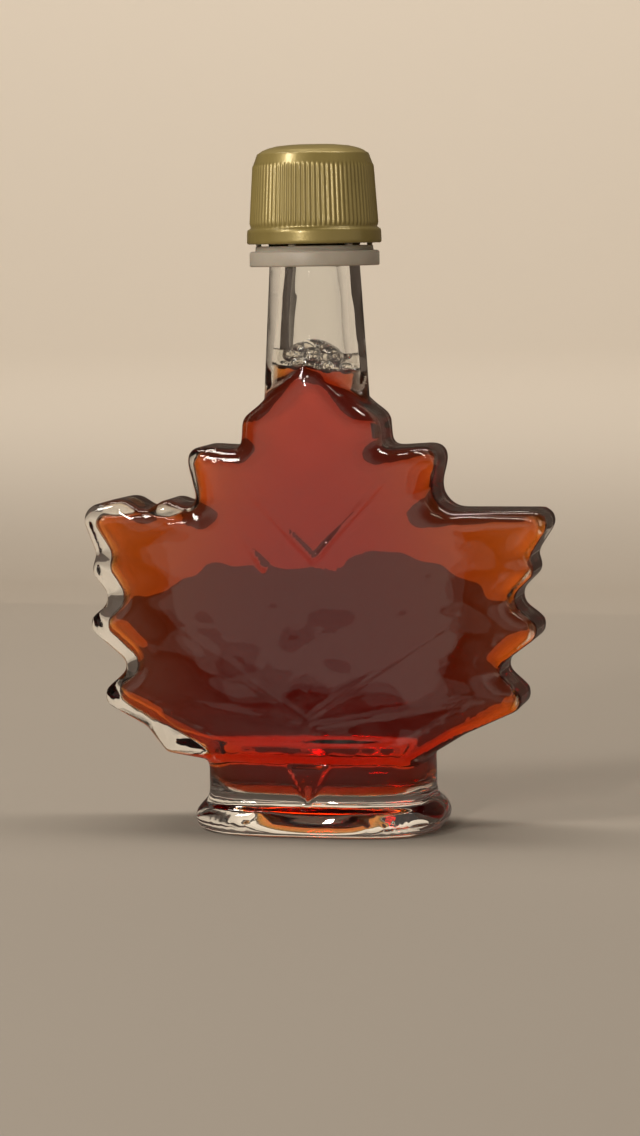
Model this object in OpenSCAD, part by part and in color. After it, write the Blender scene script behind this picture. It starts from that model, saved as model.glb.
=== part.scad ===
// A small maple syrup bottle of clear moulded glass in the shape of a maple leaf,
// with its syrup, its ribbed screw cap and the tamper ring that stays on the neck.
// The origin is at the middle of the underside. The front faces -Y and +Z is up.

/* [Leaf] */
// Width of the leaf from tip to tip
leaf_w = 72.4; // [60:1:90]
// Height of the leaf's lowest edge above the table
leaf_z = 10.6; // [8:0.5:16]
// Height of the leaf, up to its top point inside the neck
leaf_h = 63.4; // [54:1:72]
// Thickness of the leaf's straight side wall, front to back
edge_t = 9.4; // [7:0.2:12]
// Thickness of the leaf where its face meets the rounded edge
rim_t = 12; // [11:0.5:16]
// Thickness of the leaf along its middle, at the bottom
belly_t = 24.6; // [20:0.5:28]
// Thickness of the leaf along its middle, at the neck
crown_t = 16.6; // [15:0.2:18]
// Width of the rounded edge at the sides of the leaf
round_side = 4.4; // [2.5:0.1:5]
// Width of the rounded edge at the top and the bottom of the leaf
round_top = 2.2; // [1.5:0.1:3]

/* [Glass] */
// Thickness of the glass at the leaf's outline
wall = 1.3; // [1.2:0.1:2.6]
// Rounding of the inside's edge, as a share of the outside's
inside_round = 0.4; // [0.2:0.1:1]
// Thickness of the glass at the front and back faces
face_wall = 2.4; // [1.6:0.1:3]
// Thickness of the glass at the sides of the block
block_wall = 2.3; // [1.6:0.1:3]
// Thickness of the glass around the neck's bore
neck_wall = 3.4; // [2:0.1:3.8]
// Thickness of the glass under the syrup
floor_t = 5.6; // [3:0.2:7]

/* [Neck] */
// Outer diameter at the bottom of the neck
neck_low_d = 17; // [16:0.2:18]
// Outer diameter just under the tamper ring
neck_top_d = 13.8; // [13.4:0.1:14.6]
// Height where the neck goes under the tamper ring
neck_z = 86.2; // [82:0.5:94]
// How far the glass inside the cap stands out from the neck
finish_out = 0.6; // [0.3:0.1:1]

/* [Foot] */
// Width of the foot
foot_w = 39; // [37:0.5:50]
// Thickness of the foot, front to back
foot_t = 26; // [22:0.5:32]
// Height of the foot's flange
foot_h = 4.4; // [3:0.2:6]
// Width of the block between the foot and the leaf
block_w = 34.8; // [30:0.5:40]
// Thickness of the block, front to back
block_t = 20.6; // [18:0.2:22]
// Width of the leaf's stem on the front of the block
stem_w = 7.4; // [4:0.2:10]
// How far the stem stands out from the block
stem_out = 0.9; // [0.5:0.1:1.5]

/* [Syrup] */
// Height of the syrup's surface above the table
level_z = 72.6; // [64:0.2:82]

/* [Cap] */
// Thickness of the cap's wall at its bottom edge
cap_wall_low = 2.45; // [2.2:0.05:3]
// Thickness of the cap's wall at the top of the ribs
cap_wall_top = 1.4; // [1.2:0.1:2]
// Height of the cap
cap_h = 15; // [13:0.5:18]
// Height of the smooth band at the cap's bottom
cap_band_h = 2.4; // [1.5:0.1:4]
// Height of the smooth shoulder above the ribs
cap_shoulder_h = 2.8; // [1.5:0.1:4]
// Thickness of the cap's top
cap_lid_t = 1.4; // [1:0.1:2]
// Number of ribs around the cap
ribs = 80; // [48:4:90]
// How far a rib stands out
rib_out = 0.25; // [0.15:0.05:0.4]

/* [Tamper ring] */
// Thickness of the ring's wall
ring_wall = 2.7; // [2.2:0.1:3]
// Thickness of the collar's wall, above the ring
collar_wall = 1.8; // [1.4:0.1:2.2]
// Height of the ring
ring_h = 2.3; // [1.5:0.1:3]
// Height of the collar above the ring
collar_h = 0.8; // [0.5:0.1:1.2]
// Gap between the ring and the glass, and between the cap and the glass
fit_gap = 0.3; // [0.2:0.05:0.4]

/* [Hidden] */
$fn = 96;

// Corners of the leaf from its top point down the right side: across as a share of
// half the width, up as a share of the height, and the radius that rounds the corner.
shoulder = [
    [0.215, 0.866, 1.0], [0.292, 0.832, 2.2], [0.302, 0.758, 1.2],
    [0.555, 0.766, 2.2], [0.488, 0.608, 4.4]
];
humps = [[0.640, 0.636, 1.6], [0.735, 0.606, 2.0], [0.825, 0.638, 3.0]];
side_right = [
    [1.040, 0.608, 2.6], [0.918, 0.500, 2.0], [0.945, 0.462, 2.2], [0.825, 0.394, 2.2],
    [0.985, 0.324, 2.0], [0.765, 0.230, 1.8], [0.925, 0.148, 2.0], [0.640, 0.074, 6.0]
];
side_left = [
    [1.026, 0.614, 2.6], [0.948, 0.502, 2.0], [0.975, 0.460, 2.2], [0.880, 0.390, 2.2],
    [1.012, 0.330, 2.0], [0.800, 0.230, 1.8], [0.964, 0.148, 2.0], [0.740, 0.082, 3.0], [0.650, 0.018, 1.5]
];
foot_corner = [[0.430, 0.000, 1.5]];
hollow_left = [
    [1.046, 0.618, 2.2], [0.915, 0.500, 2.4], [0.935, 0.462, 2.4], [0.850, 0.394, 2.4],
    [0.975, 0.326, 2.2], [0.780, 0.230, 2.0], [0.945, 0.150, 2.2], [0.660, 0.066, 5.0]
];

function place(list, way) = [for (p = list) [way * p[0] * leaf_w / 2, leaf_z + p[1] * leaf_h, p[2]]];
function backwards(list) = [for (i = [len(list) - 1:-1:0]) list[i]];
top_point = [[0, leaf_z + leaf_h, 1]];
// The outside has two humps on its left lobe, and the inside is plainer
outside = concat(top_point, place(concat(shoulder, side_right, foot_corner), 1),
    backwards(place(concat(shoulder, humps, side_left, foot_corner), -1)));
inside = concat(top_point, place(concat(shoulder, side_right, foot_corner), 1),
    backwards(place(concat(shoulder, hollow_left, foot_corner), -1)));

function flat(p) = [p[0], p[1]];
function unit(v) = v / norm(v);
function outward(d) = [-d[1], d[0]];
function turned(v, a) = [v[0] * cos(a) - v[1] * sin(a), v[0] * sin(a) + v[1] * cos(a)];
function cross2(a, b) = a[0] * b[1] - a[1] * b[0];

// How far an edge moves in, from the insets across and up and the way the edge faces
function move_in(n, across, up) = norm([n[0] * across, n[1] * up]);

// The corner where two edges meet once both have moved in
function moved(p, n0, n1, a0, a1) = p - (n0 * (a0 - a1 * (n0 * n1)) + n1 * (a1 - a0 * (n0 * n1)))
    / (1 - pow(n0 * n1, 2));

// The leaf's outline moved in, with the same number of points whatever the insets: each
// corner is rounded by a few points, and long straight stretches are divided evenly.
// An outer corner's radius shrinks by the inset and an inner corner's grows by it.
stretch = leaf_w / 11;
function outline(corners, arc, across, up, least) =
    let(
        n = len(corners),
        e = [for (i = [0:n - 1]) flat(corners[(i + 1) % n]) - flat(corners[i])],
        o = [for (i = [0:n - 1]) outward(unit(e[i]))],
        m = [for (i = [0:n - 1]) move_in(o[i], across, up)],
        v = [for (i = [0:n - 1]) let(j = (i + n - 1) % n)
            moved(flat(corners[i]), o[j], o[i], m[j], m[i])],
        left = [for (i = [0:n - 1]) norm(v[(i + 1) % n] - v[i])],
        rounded = [for (i = [0:n - 1]) let(
            j = (i + n - 1) % n,
            a = atan2(cross2(o[j], o[i]), o[j] * o[i]),
            inset = (m[i] + m[j]) / 2,
            asked = a < 0 ? max(corners[i][2] - inset, least) : corners[i][2] + inset,
            room = 0.45 * min(left[i], left[j]) / max(tan(abs(a) / 2), 0.01),
            r = (a < 0 ? 1 : -1) * min(asked, room),
            c = v[i] - r * (o[j] + o[i]) / (1 + o[j] * o[i])
        ) [for (k = [0:arc]) c + r * turned(o[j], a * k / arc)]]
    )
    [for (i = [0:n - 1]) let(
        from = rounded[i][arc], to = rounded[(i + 1) % n][0], parts = floor(norm(e[i]) / stretch) + 1
    ) each concat(rounded[i], [for (k = [1:1:parts - 1]) from + (to - from) * k / parts])];

// Half the thickness of the leaf at a place: thickest along the middle, thin at the lobes.
// The thick part is wide at the bottom and narrows towards the neck.
function along(z) = min(max((z - leaf_z) / leaf_h, 0), 1);
function spine(z) = (belly_t + (crown_t - belly_t) * along(z)) / 2;
function spine_w(z) = leaf_w * (0.32 - 0.17 * along(z));
function half_t(x, z) = rim_t / 2 + (spine(z) - rim_t / 2) * exp(-pow(x / spine_w(z), 2));
middle = [0, leaf_z + 0.3 * leaf_h];
// The smallest radius of a corner, on the outside and in the hollow
function least(glass) = glass > 0 ? 1.2 : 0.5;

// One ring of the leaf's surface, the glass being the distance inside the outer surface
// and share the part of the outside's rounded edge that this surface has.
// The turn goes from 0 at the side wall to 90 where the face begins.
function edge_ring(corners, arc, glass, face, share, turn, way) =
    let(c = share * (1 - cos(turn)), s = sin(turn), flat_y = (edge_t - face) / 2)
    [for (p = outline(corners, arc, glass + round_side * c, glass + round_top * c, least(glass)))
        [p[0], way * (flat_y + (half_t(p[0], p[1]) - face - flat_y) * s), p[1]]];

// A ring of the face: the face's outline shrunk towards the middle
function face_ring(corners, arc, glass, face, share, size, way) =
    [for (p = outline(corners, arc, glass + round_side * share, glass + round_top * share, least(glass)))
        let(q = middle + (p - middle) * size) [q[0], way * (half_t(q[0], q[1]) - face), q[1]]];

// Joins rings of the same number of points into a closed solid, with a point at each end
module loft(rings, first, last) {
    n = len(rings[0]);
    top = len(rings) * n;
    polyhedron(
        points = concat([for (r = rings) each r], [first, last]),
        faces = concat(
            [for (i = [0:n - 1]) [(i + 1) % n, i, top]],
            [for (k = [0:len(rings) - 2]) for (i = [0:n - 1]) each let(j = (i + 1) % n, a = k * n, b = a + n)
                [[a + i, a + j, b + j], [a + i, b + j, b + i]]],
            [for (i = [0:n - 1]) [top - n + i, top - n + (i + 1) % n, top + 1]]
        )
    );
}

module leaf_shape(corners, arc, glass, face, share, turns, sizes) {
    back = concat([for (s = backwards(sizes)) face_ring(corners, arc, glass, face, share, s, 1)],
        [for (t = backwards(turns)) edge_ring(corners, arc, glass, face, share, t, 1)]);
    front = concat([for (t = turns) edge_ring(corners, arc, glass, face, share, t, -1)],
        [for (s = sizes) face_ring(corners, arc, glass, face, share, s, -1)]);
    y = half_t(0, middle[1]) - face;
    loft(concat(back, front), [0, y, middle[1]], [0, -y, middle[1]]);
}

// A flat ring with rounded ends, for the foot and the block
SIDES = 56;
function power(v, e) = sign(v) * pow(abs(v), e);
function oval(w, t, z) = [for (i = [0:SIDES - 1]) let(a = 360 * i / SIDES)
    [w / 2 * power(cos(a), 0.62), t / 2 * power(sin(a), 0.62), z]];
module oval_loft(rows) {
    z0 = rows[0][2];
    z1 = rows[len(rows) - 1][2];
    loft([for (r = backwards(rows)) oval(r[0], r[1], r[2])], [0, 0, z1], [0, 0, z0]);
}

block_top = leaf_z + 6;
module foot_shape() {
    oval_loft([
        [foot_w - 2.6, foot_t - 2.6, 0], [foot_w - 0.8, foot_t - 0.8, foot_h * 0.16],
        [foot_w, foot_t, foot_h * 0.42], [foot_w - 0.6, foot_t - 0.6, foot_h * 0.68],
        [foot_w - 2.2, foot_t - 1.4, foot_h * 0.90], [block_w + 0.6, block_t + 0.6, foot_h * 1.06],
        [block_w, block_t, foot_h * 1.3], [block_w, block_t, leaf_z],
        [block_w - 8, block_t - 4, block_top]
    ]);
}

module block_room() {
    w = block_w - 2 * block_wall;
    t = block_t - 2 * block_wall;
    oval_loft([
        [w - 3, t - 3, floor_t], [w - 0.8, t - 0.8, floor_t + 0.8], [w, t, floor_t + 2],
        [w, t, leaf_z + 1], [w - 6, t - 3, block_top]
    ]);
}

module stem() {
    y = block_t / 2;
    translate([0, -y + 2, 0]) rotate([90, 0, 0]) linear_extrude(2 + stem_out)
        polygon([[-stem_w / 2, leaf_z + 1], [0, foot_h * 0.95], [stem_w / 2, leaf_z + 1]]);
}

finish_d = neck_top_d + 2 * finish_out;
cap_inner_d = finish_d + 2 * fit_gap;
cap_d = cap_inner_d + 2 * cap_wall_low;
cap_top_d = cap_inner_d + 2 * cap_wall_top;
ring_inner_d = neck_top_d + 2 * fit_gap;
ring_d = ring_inner_d + 2 * ring_wall;
collar_d = ring_inner_d + 2 * collar_wall;
cap_z = neck_z + ring_h + collar_h + fit_gap;
mouth_z = cap_z + cap_h - cap_lid_t;
neck_low_z = leaf_z + 0.72 * leaf_h;
neck_out = [
    [neck_low_d / 2 - 1.4, leaf_z + 0.55 * leaf_h], [neck_low_d / 2, neck_low_z],
    [neck_low_d / 2 - 0.3, neck_low_z + 0.12 * leaf_h], [neck_top_d / 2, neck_z],
    [neck_top_d / 2, cap_z], [finish_d / 2, cap_z + 0.8], [finish_d / 2, mouth_z - 0.6],
    [finish_d / 2 - 0.6, mouth_z]
];
bore_low = neck_low_d / 2 - neck_wall;
bore_top = neck_top_d / 2 - neck_wall;

module bore(top) {
    rotate_extrude() intersection() {
        polygon([
            [0, leaf_z + 0.6 * leaf_h], [bore_low, leaf_z + 0.6 * leaf_h], [bore_low, neck_low_z + 0.08 * leaf_h],
            [bore_top, neck_z], [bore_top, mouth_z + 1], [0, mouth_z + 1]
        ]);
        square([cap_d, top]);
    }
}

module room(top) {
    leaf_shape(inside, 2, wall, face_wall, inside_round, [0, 45, 90], [0.5]);
    block_room();
    bore(top);
}

module bottle() {
    color("gainsboro", 0.35) difference() {
        union() {
            leaf_shape(outside, 3, 0, 0, 1, [0, 30, 60, 90], [0.7, 0.4]);
            foot_shape();
            stem();
            rotate_extrude() polygon(concat([[0, neck_out[0][1]]], neck_out, [[0, mouth_z]]));
        }
        room(mouth_z + 1);
    }
}

module syrup() {
    color("saddlebrown") room(level_z);
}

module cap() {
    shoulder_z = cap_z + cap_h - cap_shoulder_h;
    band_z = cap_z + cap_band_h;
    lip = cap_d / 2;
    color("darkkhaki") difference() {
        union() {
            rotate_extrude() polygon([
                [0, cap_z], [lip - 0.15, cap_z], [lip, cap_z + 0.3], [lip - 0.15, band_z - 0.4],
                [lip - 0.45, band_z], [cap_top_d / 2 - rib_out, shoulder_z],
                [cap_top_d / 2 - 0.3, shoulder_z + 0.3 * cap_shoulder_h],
                [cap_top_d / 2 - 0.75, shoulder_z + 0.52 * cap_shoulder_h],
                [cap_top_d / 2 - 2, shoulder_z + 0.76 * cap_shoulder_h],
                [cap_top_d / 2 - 3.6, shoulder_z + 0.92 * cap_shoulder_h], [0, cap_z + cap_h]
            ]);
            for (i = [0:ribs - 1]) rotate([0, 0, 360 * i / ribs]) rib(band_z - 0.3, shoulder_z + 0.2);
        }
        translate([0, 0, cap_z - 1]) cylinder(d = cap_inner_d, h = mouth_z - cap_z + 1);
    }
}

// One rib of the cap: it leans in with the cap's side and runs out at both ends
module rib(from, to) {
    low = cap_d / 2 - 0.45;
    high = cap_top_d / 2 - rib_out;
    w = PI * cap_top_d / ribs * 0.55;
    rotate([90, 0, 0]) linear_extrude(w, center = true) polygon([
        [low - 1, from], [low, from], [low + rib_out, from + 0.5],
        [high + rib_out, to - 0.5], [high, to], [high - 1, to]
    ]);
}

module tamper_ring() {
    color("lightgray", 0.8) difference() {
        union() {
            translate([0, 0, neck_z]) cylinder(d = ring_d, h = ring_h);
            translate([0, 0, neck_z]) cylinder(d = collar_d, h = ring_h + collar_h);
            for (a = [20:60:320]) rotate([0, 0, a])
                translate([collar_d / 2 - 0.9, -0.5, neck_z + ring_h]) cube([0.8, 1, collar_h + fit_gap]);
        }
        translate([0, 0, neck_z - 1]) cylinder(d = ring_inner_d, h = ring_h + collar_h + 3);
    }
}

bottle();
syrup();
cap();
tamper_ring();
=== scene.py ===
"""A small maple syrup bottle: clear moulded glass in the shape of a maple leaf, filled with
dark syrup, with bubbles at its surface, a ribbed screw cap and the tamper ring below it.
Shapes are worked out in millimetres in the frame's own axes and become metres in mesh_of()."""
import math

import bpy
import numpy as np
from mathutils import Matrix, Vector


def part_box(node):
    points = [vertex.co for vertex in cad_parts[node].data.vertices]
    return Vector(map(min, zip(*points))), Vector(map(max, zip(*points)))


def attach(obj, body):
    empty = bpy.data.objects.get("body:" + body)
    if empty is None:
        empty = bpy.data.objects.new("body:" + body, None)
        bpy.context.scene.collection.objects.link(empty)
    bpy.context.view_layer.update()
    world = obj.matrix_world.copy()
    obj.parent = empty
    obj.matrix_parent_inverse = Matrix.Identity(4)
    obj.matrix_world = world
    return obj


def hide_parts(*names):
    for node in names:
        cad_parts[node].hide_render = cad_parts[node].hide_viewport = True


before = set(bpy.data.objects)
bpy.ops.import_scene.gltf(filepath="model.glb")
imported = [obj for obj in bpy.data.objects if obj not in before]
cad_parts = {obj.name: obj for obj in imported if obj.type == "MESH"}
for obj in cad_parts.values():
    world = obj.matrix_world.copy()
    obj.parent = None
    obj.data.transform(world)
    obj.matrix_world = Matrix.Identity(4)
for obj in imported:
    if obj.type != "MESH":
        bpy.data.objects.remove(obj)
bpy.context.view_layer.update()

MM = 0.001


def node_box(name):
    """The lowest and highest corner of a frame node, in millimetres."""
    return np.array(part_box(name)) / MM


BOTTLE = node_box("bottle")
SYRUP = node_box("syrup")
CAP = node_box("cap")
RING = node_box("tamper_ring")

# ---------------------------------------------------------------- sizes of the glass
NECK_TOP = RING[0, 2]
MOUTH = BOTTLE[1, 2]
LEAF_LOW = 0.123 * NECK_TOP
LEAF_TALL = 0.7355 * NECK_TOP
LEAF_HALF = 1.0044 * (BOTTLE[1, 0] - BOTTLE[0, 0]) / 2
FOOT_WIDE = 39.0
FOOT_DEEP = BOTTLE[1, 1] - BOTTLE[0, 1]
FOOT_TALL = 4.4
BLOCK_WIDE = 34.8
BLOCK_DEEP = 20.6
STEM_WIDE = 7.4
STEM_OUT = 0.9
STEM_EDGE = 0.7
FLOOR = SYRUP[0, 2]
EDGE_DEEP = 9.4
RIM_DEEP = 12.0
BELLY_DEEP = 24.6
CROWN_DEEP = 16.6
ROUND_SIDE = 4.4
ROUND_TOP = 2.2
WALL = 1.3
FACE_WALL = 2.4
BLOCK_WALL = 2.3
INSIDE_ROUND = 0.4
NECK_LOW_R = 8.5
NECK_TOP_R = 6.9
FINISH_R = 7.5
BORE_LOW_R = 5.1
BORE_TOP_R = 3.5
RING_PLAY = 0.3
CAP_PLAY = 0.3

# Corners of the leaf from its top point down the right side: across as a share of half the
# width, up as a share of the height, and the radius in millimetres that rounds the corner.
SHOULDER = [
    [0.215, 0.866, 1.0], [0.292, 0.832, 2.2], [0.302, 0.758, 1.2],
    [0.555, 0.766, 2.2], [0.488, 0.608, 4.4],
]
HUMPS = [[0.640, 0.636, 1.6], [0.735, 0.606, 2.0], [0.825, 0.638, 3.0]]
SIDE_RIGHT = [
    [1.040, 0.608, 2.6], [0.918, 0.500, 2.0], [0.945, 0.462, 2.2], [0.825, 0.394, 2.2],
    [0.985, 0.324, 2.0], [0.765, 0.230, 1.8], [0.925, 0.148, 2.0], [0.640, 0.074, 6.0],
]
SIDE_LEFT = [
    [1.026, 0.614, 2.6], [0.948, 0.502, 2.0], [0.975, 0.460, 2.2], [0.880, 0.390, 2.2],
    [1.012, 0.330, 2.0], [0.800, 0.230, 1.8], [0.964, 0.148, 2.0], [0.740, 0.082, 3.0],
    [0.650, 0.018, 1.5],
]
FOOT_CORNER = [[0.430, 0.000, 1.5]]
HOLLOW_LEFT = [
    [1.046, 0.618, 2.2], [0.915, 0.500, 2.4], [0.935, 0.462, 2.4], [0.850, 0.394, 2.4],
    [0.975, 0.326, 2.2], [0.780, 0.230, 2.0], [0.945, 0.150, 2.2], [0.660, 0.066, 5.0],
]


def placed(shares, way):
    """Corner shares as millimetres on the right (way 1) or the left (way -1)."""
    corners = np.array(shares)
    return corners * [way * LEAF_HALF, LEAF_TALL, 1.0] + [0.0, LEAF_LOW, 0.0]


def leaf_corners(left_side):
    """All corners clockwise from the top point, the left ones in reverse order."""
    top = [[0.0, LEAF_LOW + LEAF_TALL, 1.0]]
    right = placed(SHOULDER + SIDE_RIGHT + FOOT_CORNER, 1)
    return np.vstack([top, right, placed(left_side, -1)[::-1]])


OUTSIDE = leaf_corners(SHOULDER + HUMPS + SIDE_LEFT + FOOT_CORNER)
INSIDE = leaf_corners(SHOULDER + HOLLOW_LEFT + FOOT_CORNER)


# ---------------------------------------------------------------- surfaces
def outline(corners, across, up, least, arc=8, stretch=1.2):
    """The leaf's outline moved inwards, always with the same number of points. An edge that
    faces (nx, nz) moves in by the length of (nx * across, nz * up). Each corner becomes an
    arc. An outward corner's radius shrinks by the inset, though not below least, and an inward
    one's grows by it, both kept to 0.45 of their edges. The straight edges between the arcs are
    divided into equal parts, each of about the length given by stretch."""
    spot, radius = corners[:, :2], corners[:, 2]
    edge = np.roll(spot, -1, 0) - spot
    length = np.hypot(*edge.T)
    out = np.stack([-edge[:, 1], edge[:, 0]], 1) / length[:, None]
    inset = np.hypot(out[:, 0] * across, out[:, 1] * up)
    out0, inset0 = np.roll(out, 1, 0), np.roll(inset, 1)
    along = (out0 * out).sum(1)
    shift = out0 * (inset0 - inset * along)[:, None] + out * (inset - inset0 * along)[:, None]
    corner = spot - shift / (1 - along ** 2)[:, None]
    left = np.hypot(*(np.roll(corner, -1, 0) - corner).T)
    turn = np.arctan2(out0[:, 0] * out[:, 1] - out0[:, 1] * out[:, 0], along)
    mean = (inset + inset0) / 2
    asked = np.where(turn < 0, np.maximum(radius - mean, least), radius + mean)
    room = 0.45 * np.minimum(left, np.roll(left, 1)) / np.maximum(np.tan(np.abs(turn) / 2), 0.01)
    bend = np.where(turn < 0, 1, -1) * np.minimum(asked, room)
    centre = corner - bend[:, None] * (out0 + out) / (1 + along)[:, None]
    step = turn[:, None] * np.linspace(0, 1, arc + 1)
    spoke = np.stack([
        out0[:, :1] * np.cos(step) - out0[:, 1:] * np.sin(step),
        out0[:, :1] * np.sin(step) + out0[:, 1:] * np.cos(step),
    ], -1)
    arcs = centre[:, None] + bend[:, None, None] * spoke
    parts = np.floor(length / stretch).astype(int)
    which = np.repeat(np.arange(len(corners)), parts)
    number = np.arange(len(which)) - np.repeat(np.cumsum(parts) - parts, parts) + 1
    share = number / (parts[which] + 1)
    start, end = arcs[:, -1], np.roll(arcs[:, 0], -1, 0)
    straight = start[which] + (end - start)[which] * share[:, None]
    place = np.arange(len(corners))[:, None] + np.linspace(0, 0.5, arc + 1)
    order = np.argsort(np.concatenate([place.ravel(), which + 0.5 + 0.5 * share]), kind="stable")
    return np.concatenate([arcs.reshape(-1, 2), straight])[order]


def half_depth(x, z):
    """Half the leaf's thickness: a bell curve across, thick along the middle and thin at the
    lobes, whose height and width both fall evenly from the bottom to the neck."""
    rise = np.clip((z - LEAF_LOW) / LEAF_TALL, 0, 1)
    spine = (BELLY_DEEP + (CROWN_DEEP - BELLY_DEEP) * rise) / 2
    reach = 2 * LEAF_HALF * (0.32 - 0.17 * rise)
    return RIM_DEEP / 2 + (spine - RIM_DEEP / 2) * np.exp(-(x / reach) ** 2)


def leaf_rings(corners, glass, face, least, rounding=1.0):
    """Rings of the leaf's skin from the back face over the side wall to the front face. Over
    the rounded edge the inset is round * (1 - cos t) and the depth goes from the side wall's
    to the face's by sin t; over the face the outline shrinks to the middle of the leaf.
    rounding is the share of the outside's rounded edge that this skin has."""
    middle = np.array([0.0, LEAF_LOW + 0.3 * LEAF_TALL])
    wall_y = (EDGE_DEEP - face) / 2
    half = []
    for turn in np.radians(np.linspace(0, 90, 10)):
        inset = rounding * (1 - math.cos(turn))
        p = outline(corners, glass + ROUND_SIDE * inset, glass + ROUND_TOP * inset, least)
        y = wall_y + (half_depth(*p.T) - face - wall_y) * math.sin(turn)
        half.append(np.stack([p[:, 0], -y, p[:, 1]], 1))
    for share in np.linspace(0.96, 0.02, 26):
        q = middle + (p - middle) * share
        half.append(np.stack([q[:, 0], face - half_depth(*q.T), q[:, 1]], 1))
    front = np.array(half)
    return np.concatenate([front[::-1] * [1, -1, 1], front])


def oval_rings(rows, sides=160):
    """Rings of a loft of superellipses, each row being (width, depth, height): x and y follow
    cos and sin raised to the power 0.62, which makes the ends nearly straight."""
    rows = np.array(rows)
    angle = np.linspace(0, 2 * np.pi, sides, endpoint=False)
    turn = np.stack([np.cos(angle), np.sin(angle)])
    turn = np.sign(turn) * np.abs(turn) ** 0.62
    xy = rows[:, :2, None] / 2 * turn
    z = np.broadcast_to(rows[:, 2:, None], (len(rows), 1, sides))
    return np.concatenate([xy, z], 1).transpose(0, 2, 1)


def turned_rings(profile, sides=96, radius_of=None):
    """Rings of a profile of (radius, height) turned about the neck's axis. radius_of takes
    the radii, the heights and the angles as a grid and returns the final radii."""
    r, z = np.array(profile).T[:, :, None]
    angle = np.linspace(0, 2 * np.pi, sides, endpoint=False)[None]
    r, z = r + 0 * angle, z + 0 * angle
    if radius_of:
        r = radius_of(r, z, angle)
    return np.stack([r * np.cos(angle), r * np.sin(angle), z], -1)


def spread(profile, step):
    """A profile with points added so that none are further apart than step."""
    profile = np.array(profile, float)
    far = np.concatenate([[0], np.cumsum(np.hypot(*np.diff(profile, axis=0).T))])
    at = np.unique(np.concatenate([far, np.linspace(0, far[-1], int(far[-1] / step) + 2)]))
    return np.stack([np.interp(at, far, profile[:, 0]), np.interp(at, far, profile[:, 1])], 1)


def outwards(points, triangles):
    """A closed skin with its triangles turned to face out, by the sign of its volume."""
    corner = points[triangles]
    volume = np.einsum("ij,ij->i", corner[:, 0], np.cross(corner[:, 1], corner[:, 2])).sum()
    return points, triangles if volume > 0 else triangles[:, ::-1]


def between(low, high):
    """Two triangles for each square between one ring's point numbers and the next ring's."""
    a, b = low.ravel(), np.roll(low, -1, 1).ravel()
    c, d = np.roll(high, -1, 1).ravel(), high.ravel()
    return np.concatenate([np.stack([a, b, c], 1), np.stack([a, c, d], 1)])


def closed(rings):
    """(points, triangles) of a closed skin over rings, each end fanned to its middle."""
    rows, columns = rings.shape[:2]
    number = np.arange(rows * columns).reshape(rows, columns)
    first, last = rows * columns, rows * columns + 1
    ends = [
        np.stack([np.roll(number[0], -1), number[0], np.full(columns, first)], 1),
        np.stack([number[-1], np.roll(number[-1], -1), np.full(columns, last)], 1),
    ]
    points = np.concatenate([rings.reshape(-1, 3), [rings[0].mean(0), rings[-1].mean(0)]])
    return outwards(points, np.concatenate([between(number[:-1], number[1:]), *ends]))


def looped(rings):
    """(points, triangles) of a ring-shaped skin, whose last ring joins the first."""
    number = np.arange(rings.shape[0] * rings.shape[1]).reshape(rings.shape[:2])
    return outwards(rings.reshape(-1, 3), between(number, np.roll(number, -1, 0)))


def joined(skins):
    """Several skins as one list of points and one of triangles."""
    starts = np.cumsum([0] + [len(points) for points, _ in skins[:-1]])
    return (np.concatenate([points for points, _ in skins]),
            np.concatenate([faces + start for (_, faces), start in zip(skins, starts)]))


def mesh_of(name, points, faces):
    """A smooth mesh from points in millimetres and faces of one size."""
    mesh = bpy.data.meshes.new(name)
    count, size = faces.shape
    mesh.vertices.add(len(points))
    mesh.vertices.foreach_set("co", (points * MM).astype(np.float32).ravel())
    mesh.loops.add(count * size)
    mesh.loops.foreach_set("vertex_index", faces.astype(np.int32).ravel())
    mesh.polygons.add(count)
    mesh.polygons.foreach_set("loop_start", np.arange(0, count * size, size, dtype=np.int32))
    mesh.polygons.foreach_set("use_smooth", np.full(count, True))
    mesh.update(calc_edges=True)
    mesh.validate()
    return mesh


def piece(name, points, faces):
    """A mesh object at the origin."""
    made = bpy.data.objects.new(name, mesh_of(name, points, faces))
    bpy.context.scene.collection.objects.link(made)
    return made


def points_of(made):
    """An object's vertices in millimetres."""
    flat = np.empty(len(made.data.vertices) * 3, np.float32)
    made.data.vertices.foreach_get("co", flat)
    return flat.reshape(-1, 3).astype(float) / MM


def set_points(made, points):
    """Moves an object's vertices, given in millimetres."""
    made.data.vertices.foreach_set("co", (points * MM).astype(np.float32).ravel())
    made.data.update()


def normals_of(made):
    """The direction that each vertex faces."""
    flat = np.empty(len(made.data.vertices) * 3, np.float32)
    made.data.vertices.foreach_get("normal", flat)
    return flat.reshape(-1, 3).astype(float)


def applied(made):
    """Puts the result of an object's modifiers into its mesh, and returns the object."""
    ready = made.evaluated_get(bpy.context.evaluated_depsgraph_get())
    mesh = bpy.data.meshes.new_from_object(ready)
    made.modifiers.clear()
    made.data = mesh
    return made


def fused(name, skins, voxel):
    """Overlapping closed skins made one skin of even quads, voxel millimetres wide."""
    made = piece(name, *joined(skins))
    remesh = made.modifiers.new("fuse", "REMESH")
    remesh.mode = "VOXEL"
    remesh.voxel_size = voxel * MM
    remesh.use_smooth_shade = True
    return applied(made)


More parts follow.
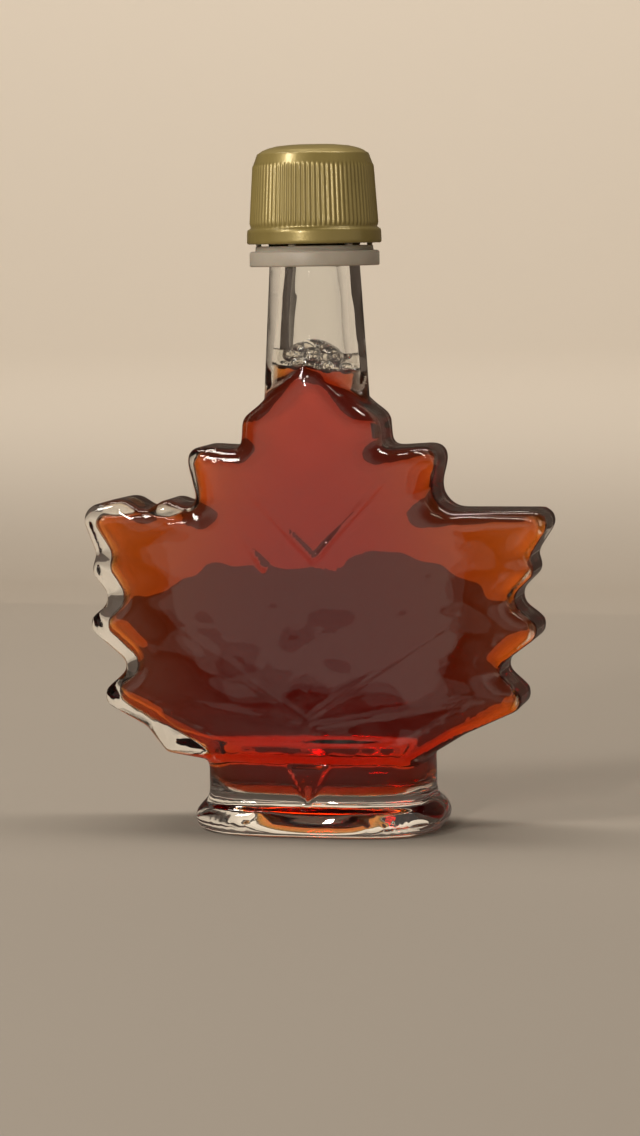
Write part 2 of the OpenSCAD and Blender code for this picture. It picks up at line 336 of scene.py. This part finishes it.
def cleaned(made):
    """Merges points that are the same to a thousandth of a millimetre, and takes out the
    triangles that this flattens and the pairs that lie back to back."""
    mesh = made.data
    mesh.calc_loop_triangles()
    corner = np.empty(len(mesh.loop_triangles) * 3, np.int32)
    mesh.loop_triangles.foreach_get("vertices", corner)
    points = points_of(made)
    _, first, same = np.unique(np.round(points, 3), axis=0, return_index=True, return_inverse=True)
    triangles = same.ravel()[corner].reshape(-1, 3)
    triangles = triangles[(triangles != np.roll(triangles, 1, 1)).all(1)]
    corners = np.sort(triangles, 1)
    _, kind, count = np.unique(corners, axis=0, return_inverse=True, return_counts=True)
    triangles = triangles[count[kind.ravel()] == 1]
    used, triangles = np.unique(triangles, return_inverse=True)
    made.data = mesh_of(made.name, points[first[used]], triangles.reshape(-1, 3))
    return made


def cut(made, cutter, operation):
    """Applies a Boolean of two closed pieces, removes the second and cleans the result."""
    change = made.modifiers.new("cut", "BOOLEAN")
    change.operation = operation
    change.solver = "MANIFOLD"
    change.object = cutter
    applied(made)
    bpy.data.objects.remove(cutter)
    return cleaned(made)


def relaxed(made, rounds, weight):
    """Moves each vertex towards the mean of its neighbours, once for each number in rounds, by
    that share of the way times the vertex's weight. A share below zero moves it away again,
    which undoes the shrinking."""
    points = points_of(made)
    ends = np.empty(len(made.data.edges) * 2, np.int32)
    made.data.edges.foreach_get("vertices", ends)
    a, b = ends.reshape(-1, 2).T
    here = np.concatenate([a, b])
    there = np.concatenate([b, a])
    count = np.bincount(here, minlength=len(points))[:, None]
    for share in rounds:
        total = np.stack([np.bincount(here, points[there, k], len(points)) for k in range(3)], 1)
        points = points + share * weight(points)[:, None] * (total / count - points)
    set_points(made, points)
    return made


# ---------------------------------------------------------------- the glass and its inside
OUTER_VOXEL = 0.50
INNER_VOXEL = 0.60
BLOCK_TOP = LEAF_LOW + 6
NECK_FOOT = LEAF_LOW + 0.72 * LEAF_TALL
BORE_FOOT = NECK_FOOT + 0.08 * LEAF_TALL
FINISH_LOW = CAP[0, 2]
PUNT = 1.6


def foot_and_block():
    """The oval foot with its round flange, and the block that rises from it into the leaf.
    The underside is hollowed a little inside the ring that it stands on."""
    underside = [
        [1.0, 0.6, PUNT],
        [FOOT_WIDE * 0.4, FOOT_DEEP * 0.35, PUNT * 0.93],
        [FOOT_WIDE * 0.62, FOOT_DEEP * 0.55, PUNT * 0.6],
        [FOOT_WIDE - 10.0, FOOT_DEEP - 9.0, PUNT * 0.25],
        [FOOT_WIDE - 6.4, FOOT_DEEP - 6.0, 0.03],
        [FOOT_WIDE - 5.4, FOOT_DEEP - 5.2, 0],
        [FOOT_WIDE - 3.4, FOOT_DEEP - 3.4, 0],
    ]
    flange = [
        [FOOT_WIDE - 2.0, FOOT_DEEP - 2.0, 0.15],
        [FOOT_WIDE - 0.8, FOOT_DEEP - 0.8, FOOT_TALL * 0.16],
        [FOOT_WIDE, FOOT_DEEP, FOOT_TALL * 0.42],
        [FOOT_WIDE - 0.6, FOOT_DEEP - 0.6, FOOT_TALL * 0.68],
        [FOOT_WIDE - 2.2, FOOT_DEEP - 1.4, FOOT_TALL * 0.90],
    ]
    block = [
        [BLOCK_WIDE + 0.6, BLOCK_DEEP + 0.6, FOOT_TALL * 1.06],
        [BLOCK_WIDE, BLOCK_DEEP, FOOT_TALL * 1.3],
        [BLOCK_WIDE, BLOCK_DEEP, LEAF_LOW],
        [BLOCK_WIDE - 8, BLOCK_DEEP - 4, BLOCK_TOP],
    ]
    return closed(oval_rings(underside + flange + block))


def stem_lift(points, normals):
    """How far the leaf's stem raises the front of the block: a triangle, point down, whose
    height climbs from 0 at its edge to STEM_OUT at STEM_EDGE inside it, by 3 t^2 - 2 t^3."""
    x, _, z = points.T
    low, high = 0.95 * FOOT_TALL, LEAF_LOW + 0.6
    wide, tall = STEM_WIDE / 2, high - low
    half = wide * (z - low) / tall
    inside = np.minimum((half - np.abs(x)) * tall / math.hypot(tall, wide), high - z)
    share = np.clip(inside / STEM_EDGE, 0, 1)
    front = np.clip((-normals[:, 1] - 0.3) / 0.3, 0, 1)
    return STEM_OUT * front * share * share * (3 - 2 * share)


def neck():
    """The neck, which widens downwards into the leaf, and the finish inside the cap."""
    return closed(turned_rings([
        (NECK_LOW_R - 1.4, LEAF_LOW + 0.55 * LEAF_TALL), (NECK_LOW_R, NECK_FOOT),
        (NECK_LOW_R - 0.3, NECK_FOOT + 0.12 * LEAF_TALL), (NECK_TOP_R, NECK_TOP),
        (NECK_TOP_R, FINISH_LOW), (FINISH_R, FINISH_LOW + 0.8), (FINISH_R, MOUTH - 0.6),
        (FINISH_R - 0.6, MOUTH),
    ]))


def block_inside():
    """The room inside the block. Its floor rises to the wall on a quarter round."""
    wide = BLOCK_WIDE - 2 * BLOCK_WALL
    deep = BLOCK_DEEP - 2 * BLOCK_WALL
    corner = 3.4
    turn = np.radians(np.linspace(8, 90, 12))
    floor = np.column_stack([
        wide - 2 * corner * (1 - np.sin(turn)),
        deep - 2 * corner * (1 - np.sin(turn)),
        FLOOR + corner * (1 - np.cos(turn)),
    ])
    top = [[wide, deep, LEAF_LOW + 1], [wide - 6, deep - 3, BLOCK_TOP]]
    return closed(oval_rings(np.vstack([floor, top])))


def bore():
    """The neck's bore, which runs out of the mouth."""
    return closed(turned_rings([
        (BORE_LOW_R, LEAF_LOW + 0.6 * LEAF_TALL), (BORE_LOW_R, BORE_FOOT), (BORE_TOP_R, NECK_TOP),
        (BORE_TOP_R, MOUTH + 1),
    ]))


def near(value, middle, reach):
    """A bell curve: 1 at the middle, falling to 0.37 at the reach."""
    return np.exp(-((value - middle) / reach) ** 2)


def seam_weight(points):
    """Where the moulded parts run into each other: round the neck's foot and round the top
    of the block."""
    x, _, z = points.T
    neck_seam = near(z, NECK_FOOT + 1, 5.0) * near(x, 0, 12.0)
    block_seam = near(z, LEAF_LOW - 0.2, 1.8) * near(x, 0, 26.0)
    return np.clip(neck_seam + block_seam, 0, 1)


def whole(points):
    """The same weight everywhere."""
    return np.ones(len(points))


# Shares for relaxed(): to blend a seam, and to smooth without shrinking
BLEND = [0.5]
SMOOTH_PAIR = [0.5, -0.53]

# The leaf's veins on its front: lines from one (across, up) share to another, and how
# strongly each stands out
VEINS = [
    [(0.04, 0.50), (-0.26, 0.67), 1.0], [(0.04, 0.50), (0.32, 0.68), 1.0],
    [(-0.18, 0.48), (-0.34, 0.60), 0.8], [(0.0, 0.06), (0.04, 0.50), 0.5],
    [(0.04, 0.50), (0.0, 0.84), 0.3], [(0.0, 0.12), (-0.56, 0.33), 0.25],
    [(0.0, 0.12), (0.56, 0.33), 0.25], [(0.0, 0.10), (-0.76, 0.17), 0.25],
    [(0.0, 0.10), (0.76, 0.17), 0.25],
]
VEIN_REACH = 0.40
VEIN_TALL = 0.11


def vein_height(x, z):
    """The height of the veins, as a share of the tallest: the highest of the bell curves of the
    distances to the lines. Each is half as high at its end as at its start."""
    height = np.zeros(len(x))
    for start, end, strength in VEINS:
        (x0, z0), (x1, z1) = np.array([start, end]) * [LEAF_HALF, LEAF_TALL] + [0, LEAF_LOW]
        run = np.array([x1 - x0, z1 - z0])
        share = np.clip(((x - x0) * run[0] + (z - z0) * run[1]) / (run @ run), 0, 1)
        away = np.hypot(x - x0 - share * run[0], z - z0 - share * run[1])
        height = np.maximum(height, strength * (1 - 0.5 * share) * near(away, 0, VEIN_REACH))
    return height


def face_weight(points, normals):
    """1 on the leaf's front face, 0 on its sides, its back, the neck and the block."""
    z = points[:, 2]
    facing = np.clip((-normals[:, 1] - 0.9) / 0.08, 0, 1)
    low = np.clip((z - LEAF_LOW - 1.5) / 3, 0, 1)
    high = np.clip((LEAF_LOW + 0.9 * LEAF_TALL - z) / 4, 0, 1)
    return facing * low * high


def moulded_outside():
    """The bottle's outer skin in one piece, its seams blended and its veins raised."""
    skins = [closed(leaf_rings(OUTSIDE, 0, 0, 0.5)), foot_and_block(), neck()]
    made = fused("bottle_glass", skins, OUTER_VOXEL)
    relaxed(made, BLEND * 14, seam_weight)
    relaxed(made, SMOOTH_PAIR * 8, whole)
    points, normals = points_of(made), normals_of(made)
    veins = VEIN_TALL * vein_height(points[:, 0], points[:, 2]) * face_weight(points, normals)
    points[:, 1] -= veins + stem_lift(points, normals)
    set_points(made, points)
    return made


def blown_inside(name):
    """The skin of the hollow inside the glass, softer than the outside."""
    leaf = closed(leaf_rings(INSIDE, WALL, FACE_WALL, 1.2, INSIDE_ROUND))
    made = fused(name, [leaf, block_inside(), bore()], INNER_VOXEL)
    relaxed(made, BLEND * 10, seam_weight)
    relaxed(made, SMOOTH_PAIR * 10, whole)
    return made


# ---------------------------------------------------------------- the syrup and its bubbles
# The syrup's surface, and how far it climbs the glass
SURFACE = SYRUP[1, 2] - 2.2
MENISCUS = 0.5
# The foam's height at the glass, how much it rises to its middle and falls to the right, and
# how far it sinks into the syrup
FOAM_EDGE = SURFACE + 2.7
FOAM_RISE = 2.0
FOAM_TILT = 0.10
FOAM_SINK = 0.04
# The film over the bubbles, the one between them, and the play round them in the syrup
FILM = 0.12
BUBBLE_GAP = 0.08
DIMPLE_PLAY = 0.02
# How far the filling reaches into the wall, and the profiles that cut it past the bore
INTO_WALL = 0.06
PAST_BORE = 0.6


def bore_radius(z):
    """The bore's radius at a height: it narrows evenly from its foot to the top of the neck."""
    taper = (z - BORE_FOOT) / (NECK_TOP - BORE_FOOT)
    return BORE_LOW_R + (BORE_TOP_R - BORE_LOW_R) * np.clip(taper, 0, 1)


def foam_top(share):
    """The height of the foam at a share of the bore's radius: a low dome."""
    return FOAM_EDGE + FOAM_RISE * (1 - share ** 2)


def packed_bubbles():
    """Centres and radii of bubbles crowded on the surface, from one large one to small ones.
    They start at seeded places and push each other apart until they hardly touch, held in by
    the bore, by the dome above and by the syrup below, into which they sink a little. One that
    still touches another at the end is made smaller."""
    rng = np.random.default_rng(9)
    rounds, give = 400, 0.3
    radius = np.concatenate([[2.25], np.linspace(1.75, 1.35, 6), np.linspace(1.0, 0.6, 5)])
    angle = rng.uniform(0, 2 * np.pi, len(radius))
    away = np.concatenate([[0.6], rng.uniform(1.8, 3.4, len(radius) - 1)])
    z = SURFACE + rng.uniform(0.6, 3.0, len(radius))
    centre = np.stack([away * np.cos(angle), away * np.sin(angle), z], 1)
    apart = radius[:, None] + radius + BUBBLE_GAP
    np.fill_diagonal(apart, 0)
    for _ in range(rounds):
        gap = centre[:, None] - centre
        far = np.linalg.norm(gap, axis=2) + 1e-9
        push = np.clip(apart - far, 0, None)[..., None] * gap / far[..., None]
        centre = centre + give * push.sum(1)
        across = np.hypot(centre[:, 0], centre[:, 1]) + 1e-9
        most = bore_radius(centre[:, 2]) - radius - BUBBLE_GAP
        centre[:, :2] *= np.minimum(1, most / across)[:, None]
        top = foam_top(np.minimum(across, most) / bore_radius(centre[:, 2])) - radius - FILM - 0.1
        centre[:, 2] = np.clip(centre[:, 2], SURFACE + 0.5 * radius, top)
    gap = np.linalg.norm(centre[:, None] - centre, axis=2) - apart + BUBBLE_GAP
    np.fill_diagonal(gap, 1)
    centre[:, 2] -= FOAM_TILT * centre[:, 0]
    return centre, radius + np.minimum(gap.min(1) / 2 - BUBBLE_GAP / 2, 0)


def balls(centres, radii, sides=32, rows=17):
    """Spheres as one list of points and one of triangles."""
    up = np.linspace(-np.pi / 2, np.pi / 2, rows + 2)[1:-1]
    points, triangles = closed(turned_rings(np.stack([np.cos(up), np.sin(up)], 1), sides))
    return joined([(points * radius + centre, triangles) for centre, radius in zip(centres, radii)])


def tilted(skin):
    """A skin leaned over to the right as the foam is."""
    points, triangles = skin
    return points - FOAM_TILT * points[:, :1] * [0, 0, 1], triangles


def surface_profile(sink=0.0):
    """The syrup's surface as a profile, lowered by sink: it climbs the glass by
    MENISCUS * share ^ 8."""
    share = np.linspace(0.02, 1.0, 24)
    wide = bore_radius(SURFACE)
    flat = [(wide * part, SURFACE - sink + MENISCUS * part ** 8) for part in share]
    return flat + [(wide + PAST_BORE, SURFACE - sink + MENISCUS)]


def filling(name, profile, play=0.0):
    """The part of the hollow that lies inside a turned profile, grown just into the wall, with
    a round hollow for each bubble, whose radius is larger by the play."""
    made = blown_inside(name)
    set_points(made, points_of(made) + INTO_WALL * normals_of(made))
    cut(made, piece("kept", *tilted(closed(turned_rings(profile)))), "INTERSECT")
    centres, radii = packed_bubbles()
    return cut(made, piece("round_hollows", *balls(centres, radii + play)), "DIFFERENCE")


def syrup():
    """The drink up to its surface, with a dimple where each bubble sinks into it."""
    far, deep = 2 * LEAF_HALF, -20
    below = [(far, SURFACE + MENISCUS), (far, deep), (0.1, deep)]
    return filling("syrup_fill", surface_profile() + below, DIMPLE_PLAY)


def bubbles():
    """The foam: thin clear films between the bubbles and over them, from the syrup's surface
    up to a low dome."""
    share = np.linspace(1.0, 0.02, 24)
    wide = bore_radius(SURFACE)
    over = [(wide + PAST_BORE, foam_top(1.0))] + [(wide * part, foam_top(part)) for part in share]
    return filling("surface_bubbles", surface_profile(FOAM_SINK) + over)


# ---------------------------------------------------------------- the cap and its ring
RIBS = 80
RIB_SIDES = 7
RIB_OUT = 0.22
CAP_LOW_R = (CAP[1, 0] - CAP[0, 0]) / 2
CAP_TOP_R = CAP_LOW_R - 1.05
CAP_BAND = 2.4
CAP_SHOULDER = 2.8
CAP_LID = 1.4


def cap():
    """The screw cap: a flared band, a ribbed wall that leans in and a stepped round shoulder.
    Over the wall the radius gains rib * (0.5 + 0.5 cos(ribs * angle)) ^ 0.7, faded at both
    ends. Inside it is a plain cup."""
    low, high = CAP[0, 2], CAP[1, 2]
    band, shoulder = low + CAP_BAND, high - CAP_SHOULDER
    lip, top = CAP_LOW_R, CAP_TOP_R
    outer = [
        (lip - 0.35, low), (lip - 0.08, low + 0.08), (lip, low + 0.3), (lip - 0.05, band - 0.55),
        (lip - 0.15, band - 0.25), (lip - 0.5, band - 0.05), (lip - 0.62, band + 0.1),
        (top - RIB_OUT, shoulder), (top - 0.32, shoulder + 0.25), (top - 0.5, shoulder + 0.75),
        (top - 0.72, shoulder + 1.35), (top - 0.98, shoulder + 1.5), (top - 1.6, shoulder + 1.9),
        (top - 2.4, shoulder + 2.2), (top - 3.6, shoulder + 2.5), (top - 5.6, shoulder + 2.7),
        (0.3, high),
    ]
    cup = FINISH_R + CAP_PLAY
    inner = [(cup, low), (cup, high - CAP_LID), (0.3, high - CAP_LID)]
    profile = spread(inner[::-1] + outer, 0.36)

    def ribbed(r, z, angle):
        """The wall's radius with its ribs."""
        fade = np.clip((z - band - 0.15) / 0.5, 0, 1) * np.clip((shoulder - 0.05 - z) / 0.5, 0, 1)
        wall = r > cup + CAP_PLAY
        return r + RIB_OUT * wall * fade * (0.5 + 0.5 * np.cos(RIBS * angle)) ** 0.7

    return piece("cap_shell", *closed(turned_rings(profile, RIBS * RIB_SIDES, ribbed)))


def tamper_ring():
    """The ring left on the neck: a plain band with a narrower collar, its edges rounded, and
    the small bridges that still reach up to the cap."""
    low, high = RING[0, 2], CAP[0, 2]
    outer = (RING[1, 0] - RING[0, 0]) / 2
    inner = NECK_TOP_R + RING_PLAY
    profile = [
        (inner, low + 0.1), (inner + 0.2, low), (outer - 0.25, low), (outer - 0.05, low + 0.08),
        (outer, low + 0.3), (outer - 0.02, low + 2.0), (outer - 0.1, low + 2.2),
        (outer - 0.35, low + 2.3), (outer - 0.9, low + 2.34), (outer - 0.95, low + 2.95),
        (outer - 1.1, low + 3.08), (inner, low + 3.1),
    ]
    skins = [looped(turned_rings(profile, 128))]
    middle, half = outer - 1.4, np.array([0.35, 0.5])
    square = np.array([[-1, -1], [1, -1], [1, 1], [-1, 1]]) * half + [middle, 0]
    bridge = np.array([np.column_stack([square, np.full(4, z)]) for z in (low + 2.9, high + 0.02)])
    for angle in np.radians(np.arange(20, 360, 60)):
        c, s = math.cos(angle), math.sin(angle)
        skins.append(closed(bridge @ np.array([[c, s, 0], [-s, c, 0], [0, 0, 1]])))
    return piece("tamper_band", *joined(skins))


# ---------------------------------------------------------------- materials
class Value:
    """A shader socket in a Python expression: each operator adds the node that works it out."""

    def __init__(self, nodes, socket):
        self.nodes = nodes
        self.socket = socket

    def math(self, operation, first, second):
        """A Math node on two values or numbers."""
        return self.nodes.node("ShaderNodeMath", {"operation": operation}, {0: first, 1: second})

    def __add__(self, other):
        return self.math("ADD", self, other)

    def __mul__(self, other):
        return self.math("MULTIPLY", self, other)

    __radd__ = __add__
    __rmul__ = __mul__


class Nodes:
    """The node tree of a material or a world, to which node() adds."""

    def __init__(self, data):
        self.data = data
        self.data.use_nodes = True
        self.tree = self.data.node_tree

    def node(self, kind, settings, inputs, output=0):
        """Adds a node, with its settings first and then the values or links of its sockets."""
        made = self.tree.nodes.new(kind)
        for name, value in settings.items():
            setattr(made, name, value)
        for key, value in inputs.items():
            if isinstance(value, Value):
                self.tree.links.new(value.socket, made.inputs[key])
            else:
                made.inputs[key].default_value = value
        return Value(self, made.outputs[output])


class Material(Nodes):
    """A material made of nodes."""

    def __init__(self, name):
        super().__init__(bpy.data.materials.new(name))
        self.tree.nodes.clear()
        self.out = self.tree.nodes.new("ShaderNodeOutputMaterial")

    def noise(self, scale, detail):
        """Noise on Object coordinates, from 0 to 1. Scale counts its grains to a metre."""
        place = self.node("ShaderNodeTexCoord", {}, {}, "Object")
        inputs = {"Vector": place, "Scale": scale, "Detail": detail}
        return self.node("ShaderNodeTexNoise", {}, inputs, "Fac")

    def bump(self, height, distance):
        """A normal from a height of 0 to 1 that stands for the distance in metres."""
        inputs = {"Height": height, "Distance": distance, "Strength": 1.0}
        return self.node("ShaderNodeBump", {}, inputs, "Normal")

    def mix(self, share, first, second):
        """A colour between two, by a share."""
        return self.node("ShaderNodeMix", {"data_type": "RGBA"}, {0: share, 6: first, 7: second}, 2)

    def end(self, shader, socket="Surface"):
        """Leads a shader to a socket of the output, and returns the material's data."""
        self.tree.links.new(shader.socket, self.out.inputs[socket])
        return self.data

    def surface(self, inputs):
        """Ends the material in one Principled shader."""
        return self.end(self.node("ShaderNodeBsdfPrincipled", {}, inputs))


def clear_glass():
    """Clear moulded glass, its skin a little wavy from the mould."""
    m = Material("clear_glass")
    waves = m.bump(m.noise(95.0, 1.0), 0.00017)
    return m.surface({"Base Color": (0.97, 0.975, 0.96, 1), "Roughness": 0.0, "IOR": 1.5,
                      "Transmission Weight": 1.0, "Normal": waves})


# How strongly a metre of syrup takes out red, green and blue light
SYRUP_LOSS = np.array([27.0, 240.0, 600.0])


def dark_syrup():
    """Clear dark syrup, orange where it is thin and nearly black where it is thick. The
    absorption's density is that of the strongest colour, and its colour is what is left."""
    m = Material("dark_syrup")
    density = float(SYRUP_LOSS.max())
    left = (*(1 - SYRUP_LOSS / density), 1.0)
    m.end(m.node("ShaderNodeVolumeAbsorption", {}, {"Color": left, "Density": density}), "Volume")
    return m.surface({"Base Color": (1, 1, 1, 1), "Roughness": 0.0, "IOR": 1.46,
                      "Transmission Weight": 1.0, "Specular IOR Level": 0.0})


def bubble_film():
    """The clear film of a bubble."""
    m = Material("bubble_film")
    return m.surface({"Base Color": (0.99, 0.97, 0.93, 1), "Roughness": 0.0, "IOR": 1.4,
                      "Transmission Weight": 1.0})


def cap_plastic():
    """Olive gold pigmented plastic, slightly cloudy, with a fine moulded grain."""
    m = Material("cap_plastic")
    cloud = m.noise(160.0, 4.0)
    grain = m.noise(2600.0, 3.0)
    colour = m.mix(cloud, (0.27, 0.205, 0.060, 1), (0.40, 0.305, 0.10, 1))
    rough = 0.26 + 0.14 * cloud
    return m.surface({"Base Color": colour, "Roughness": rough, "Metallic": 0.35,
                      "Normal": m.bump(grain, 0.00002), "Coat Weight": 0.3, "Coat Roughness": 0.15})


def ring_plastic():
    """Milky uncoloured plastic."""
    m = Material("ring_plastic")
    cloud = m.noise(240.0, 3.0)
    grain = m.noise(2200.0, 2.0)
    colour = m.mix(cloud, (0.37, 0.32, 0.255, 1), (0.48, 0.42, 0.34, 1))
    return m.surface({"Base Color": colour, "Roughness": 0.36 + 0.12 * cloud,
                      "Normal": m.bump(grain, 0.00003), "Subsurface Weight": 0.25,
                      "Subsurface Scale": 0.001, "IOR": 1.5})


def plain_floor():
    """The pale floor, and the lighter wall that it bends up into. Its back can't be seen, so
    that the wall hides nothing from a camera behind it."""
    m = Material("plain_floor")
    place = m.node("ShaderNodeTexCoord", {}, {}, "Object")
    height = m.node("ShaderNodeSeparateXYZ", {}, {"Vector": place}, "Z")
    rise = m.node("ShaderNodeMapRange", {"interpolation_type": "SMOOTHSTEP"},
                  {"Value": height, "From Min": 0.0, "From Max": 0.06})
    colour = m.mix(rise, (0.36, 0.31, 0.255, 1), (0.70, 0.62, 0.52, 1))
    front = m.node("ShaderNodeBsdfPrincipled", {}, {"Base Color": colour, "Roughness": 0.8})
    back = m.node("ShaderNodeBsdfTransparent", {}, {})
    behind = m.node("ShaderNodeNewGeometry", {}, {}, "Backfacing")
    return m.end(m.node("ShaderNodeMixShader", {}, {0: behind, 1: front, 2: back}))


# ---------------------------------------------------------------- the pieces of the bottle
def worn(made, material, slot, *nodes):
    """Gives a piece its material and body, and hides the frame nodes that it stands for. The slot
    is not used.
    """
    made.data.materials.clear()
    made.data.materials.append(material)
    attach(made, "root")
    if nodes:
        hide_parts(*nodes)


glass = cut(moulded_outside(), blown_inside("hollow"), "DIFFERENCE")
worn(glass, clear_glass(), "glass", "bottle")
worn(syrup(), dark_syrup(), "syrup", "syrup")
worn(bubbles(), bubble_film(), "glass")
worn(cap(), cap_plastic(), "cap_plastic", "cap")
worn(tamper_ring(), ring_plastic(), "ring_plastic", "tamper_ring")


# ---------------------------------------------------------------- stage, lights and camera
def backdrop():
    """A floor that bends up into a wall behind the bottle, in one sheet, in millimetres."""
    front, far, bend, wide, tall = -1500.0, 330.0, 60.0, 900.0, 320.0
    turn = np.linspace(0, np.pi / 2, 24)
    floor = np.array([[front, 0.0], [-400.0, 0.0], [0.0, 0.0]])
    curve = np.stack([far + bend * np.sin(turn), bend - bend * np.cos(turn)], 1)
    path = np.concatenate([floor, curve, [[far + bend, tall]]])
    points = np.concatenate([np.column_stack([np.full(len(path), x), path]) for x in (-wide, wide)])
    a = np.arange(len(path) - 1)
    b = a + len(path)
    sheet = piece("backdrop", points, np.stack([a, b, b + 1, a + 1], 1))
    sheet.data.materials.append(plain_floor())


# Colour of the dark cards, whose painted shade shows only as dark reflections in the glass
SHADE_CARD_BROWN = (0.085, 0.062, 0.048, 1)


def dark_card(name, points, through=True):
    """A dark card that the camera doesn't see and that casts no shadow: painted shade, which shows
    only in the glass as dark reflections and refractions and gives the clear edges their dark
    lines. Its points are the two rings of a band.
    Without through, it shows only in reflections."""
    count = len(points) // 2
    a = np.arange(count)
    b = np.roll(a, -1)
    card = piece(name, points, np.stack([a, b, b + count, a + count], 1))
    card.data.materials.append(Material(name).surface({"Base Color": SHADE_CARD_BROWN, "Roughness": 0.9}))
    card.visible_camera = False
    card.visible_diffuse = False
    card.visible_shadow = False
    card.visible_transmission = through


def dark_cards():
    """Three cards of painted shade, seen only in the glass: one lies on the floor all round the
    foot, one stands to the left, and one stands behind, where the steep side walls of the glass
    mirror it. The first is a disc whose middle lies in front of the bottle, with an oval hole for
    the foot."""
    angle = np.linspace(0, 2 * np.pi, 96, endpoint=False)
    circle = np.stack([np.cos(angle), np.sin(angle), 0 * angle], 1)
    spare, reach, middle, lift = 2, 727, [0, -480, 0], [0, 0, 0.3]
    hole = circle * [FOOT_WIDE / 2 + spare, FOOT_DEEP / 2 + spare, 0]
    dark_card("card_floor", np.concatenate([hole, reach * circle + middle]) + lift)
    tall = [0, 0, 450.0]
    left = np.array([[-240.0, 300, 0], [-420, -250, 0], [-430, -250, 0], [-250, 300, 0]])
    behind = np.array([
        [-450.0, 300, 0], [60, 260, 0], [600, 100, 0], [600, 110, 0], [60, 270, 0], [-450, 310, 0],
    ])
    dark_card("card_left", np.concatenate([left, left + tall]))
    dark_card("card_behind", np.concatenate([behind, behind + tall]), through=False)


def area_light(name, place, aim, size, power, colour=(1.0, 0.95, 0.88)):
    """A soft rectangular light at a place in metres, turned towards the aim."""
    data = bpy.data.lights.new(name, "AREA")
    data.shape = "RECTANGLE"
    data.size, data.size_y = size
    data.energy = power
    data.color = colour
    light = bpy.data.objects.new(name, data)
    light.location = place
    light.rotation_euler = (Vector(aim) - Vector(place)).to_track_quat("-Z", "Y").to_euler()
    bpy.context.scene.collection.objects.link(light)


def camera():
    """The camera in front of the bottle, a little to its right and looking slightly down."""
    turn, tip, lean = math.radians(13.0), math.radians(5.93), math.radians(1.0)
    away, height = 0.475, 0.0893
    right = Vector((math.cos(turn), math.sin(turn), 0))
    level = Vector((-math.sin(turn), math.cos(turn), 0))
    ahead = level * math.cos(tip) - Vector((0, 0, math.sin(tip)))
    up = level * math.sin(tip) + Vector((0, 0, math.cos(tip)))
    side = right * math.cos(lean) - up * math.sin(lean)
    top = right * math.sin(lean) + up * math.cos(lean)
    data = bpy.data.cameras.new("camera")
    data.sensor_width = 36.0
    data.lens = 98.4
    made = bpy.data.objects.new("camera", data)
    place = Matrix((side, top, -ahead)).transposed().to_4x4()
    place.translation = level * -away + Vector((0, 0, height))
    made.matrix_world = place
    bpy.context.scene.collection.objects.link(made)
    bpy.context.scene.camera = made


def surroundings():
    """Dim light from all round, pale near the horizon and dark overhead, which the glass's
    upper edges show. The share of the pale colour falls with the direction's height."""
    w = Nodes(bpy.data.worlds.new("surroundings"))
    place = w.node("ShaderNodeTexCoord", {}, {}, "Generated")
    height = w.node("ShaderNodeSeparateXYZ", {}, {"Vector": place}, "Z")
    strength = w.node("ShaderNodeMapRange", {"interpolation_type": "SMOOTHSTEP"},
                      {"Value": height, "From Min": 0.10, "From Max": 0.55,
                       "To Min": 0.42, "To Max": 0.06})
    background = w.tree.nodes["Background"]
    background.inputs["Color"].default_value = (1.0, 0.90, 0.78, 1)
    w.tree.links.new(strength.socket, background.inputs["Strength"])
    bpy.context.scene.world = w.data


def lights():
    """A soft light from the left front, a narrow one that draws a line down the cap, and one
    for the wall behind."""
    area_light("key", (-0.50, -0.55, 0.60), (0, 0, 0.05), (0.16, 0.24), 3.0)
    area_light("strip", (-0.12, -0.60, 0.26), (0, 0, 0.09), (0.02, 0.20), 1.4)
    area_light("wall", (0.0, 0.10, 0.70), (0.0, 0.39, 0.16), (0.9, 0.15), 4.3)
    surroundings()


backdrop()
dark_cards()
camera()
lights()
bpy.context.scene.view_settings.view_transform = "Standard"
cycles = bpy.context.scene.cycles
cycles.max_bounces = 24
cycles.transmission_bounces = 24
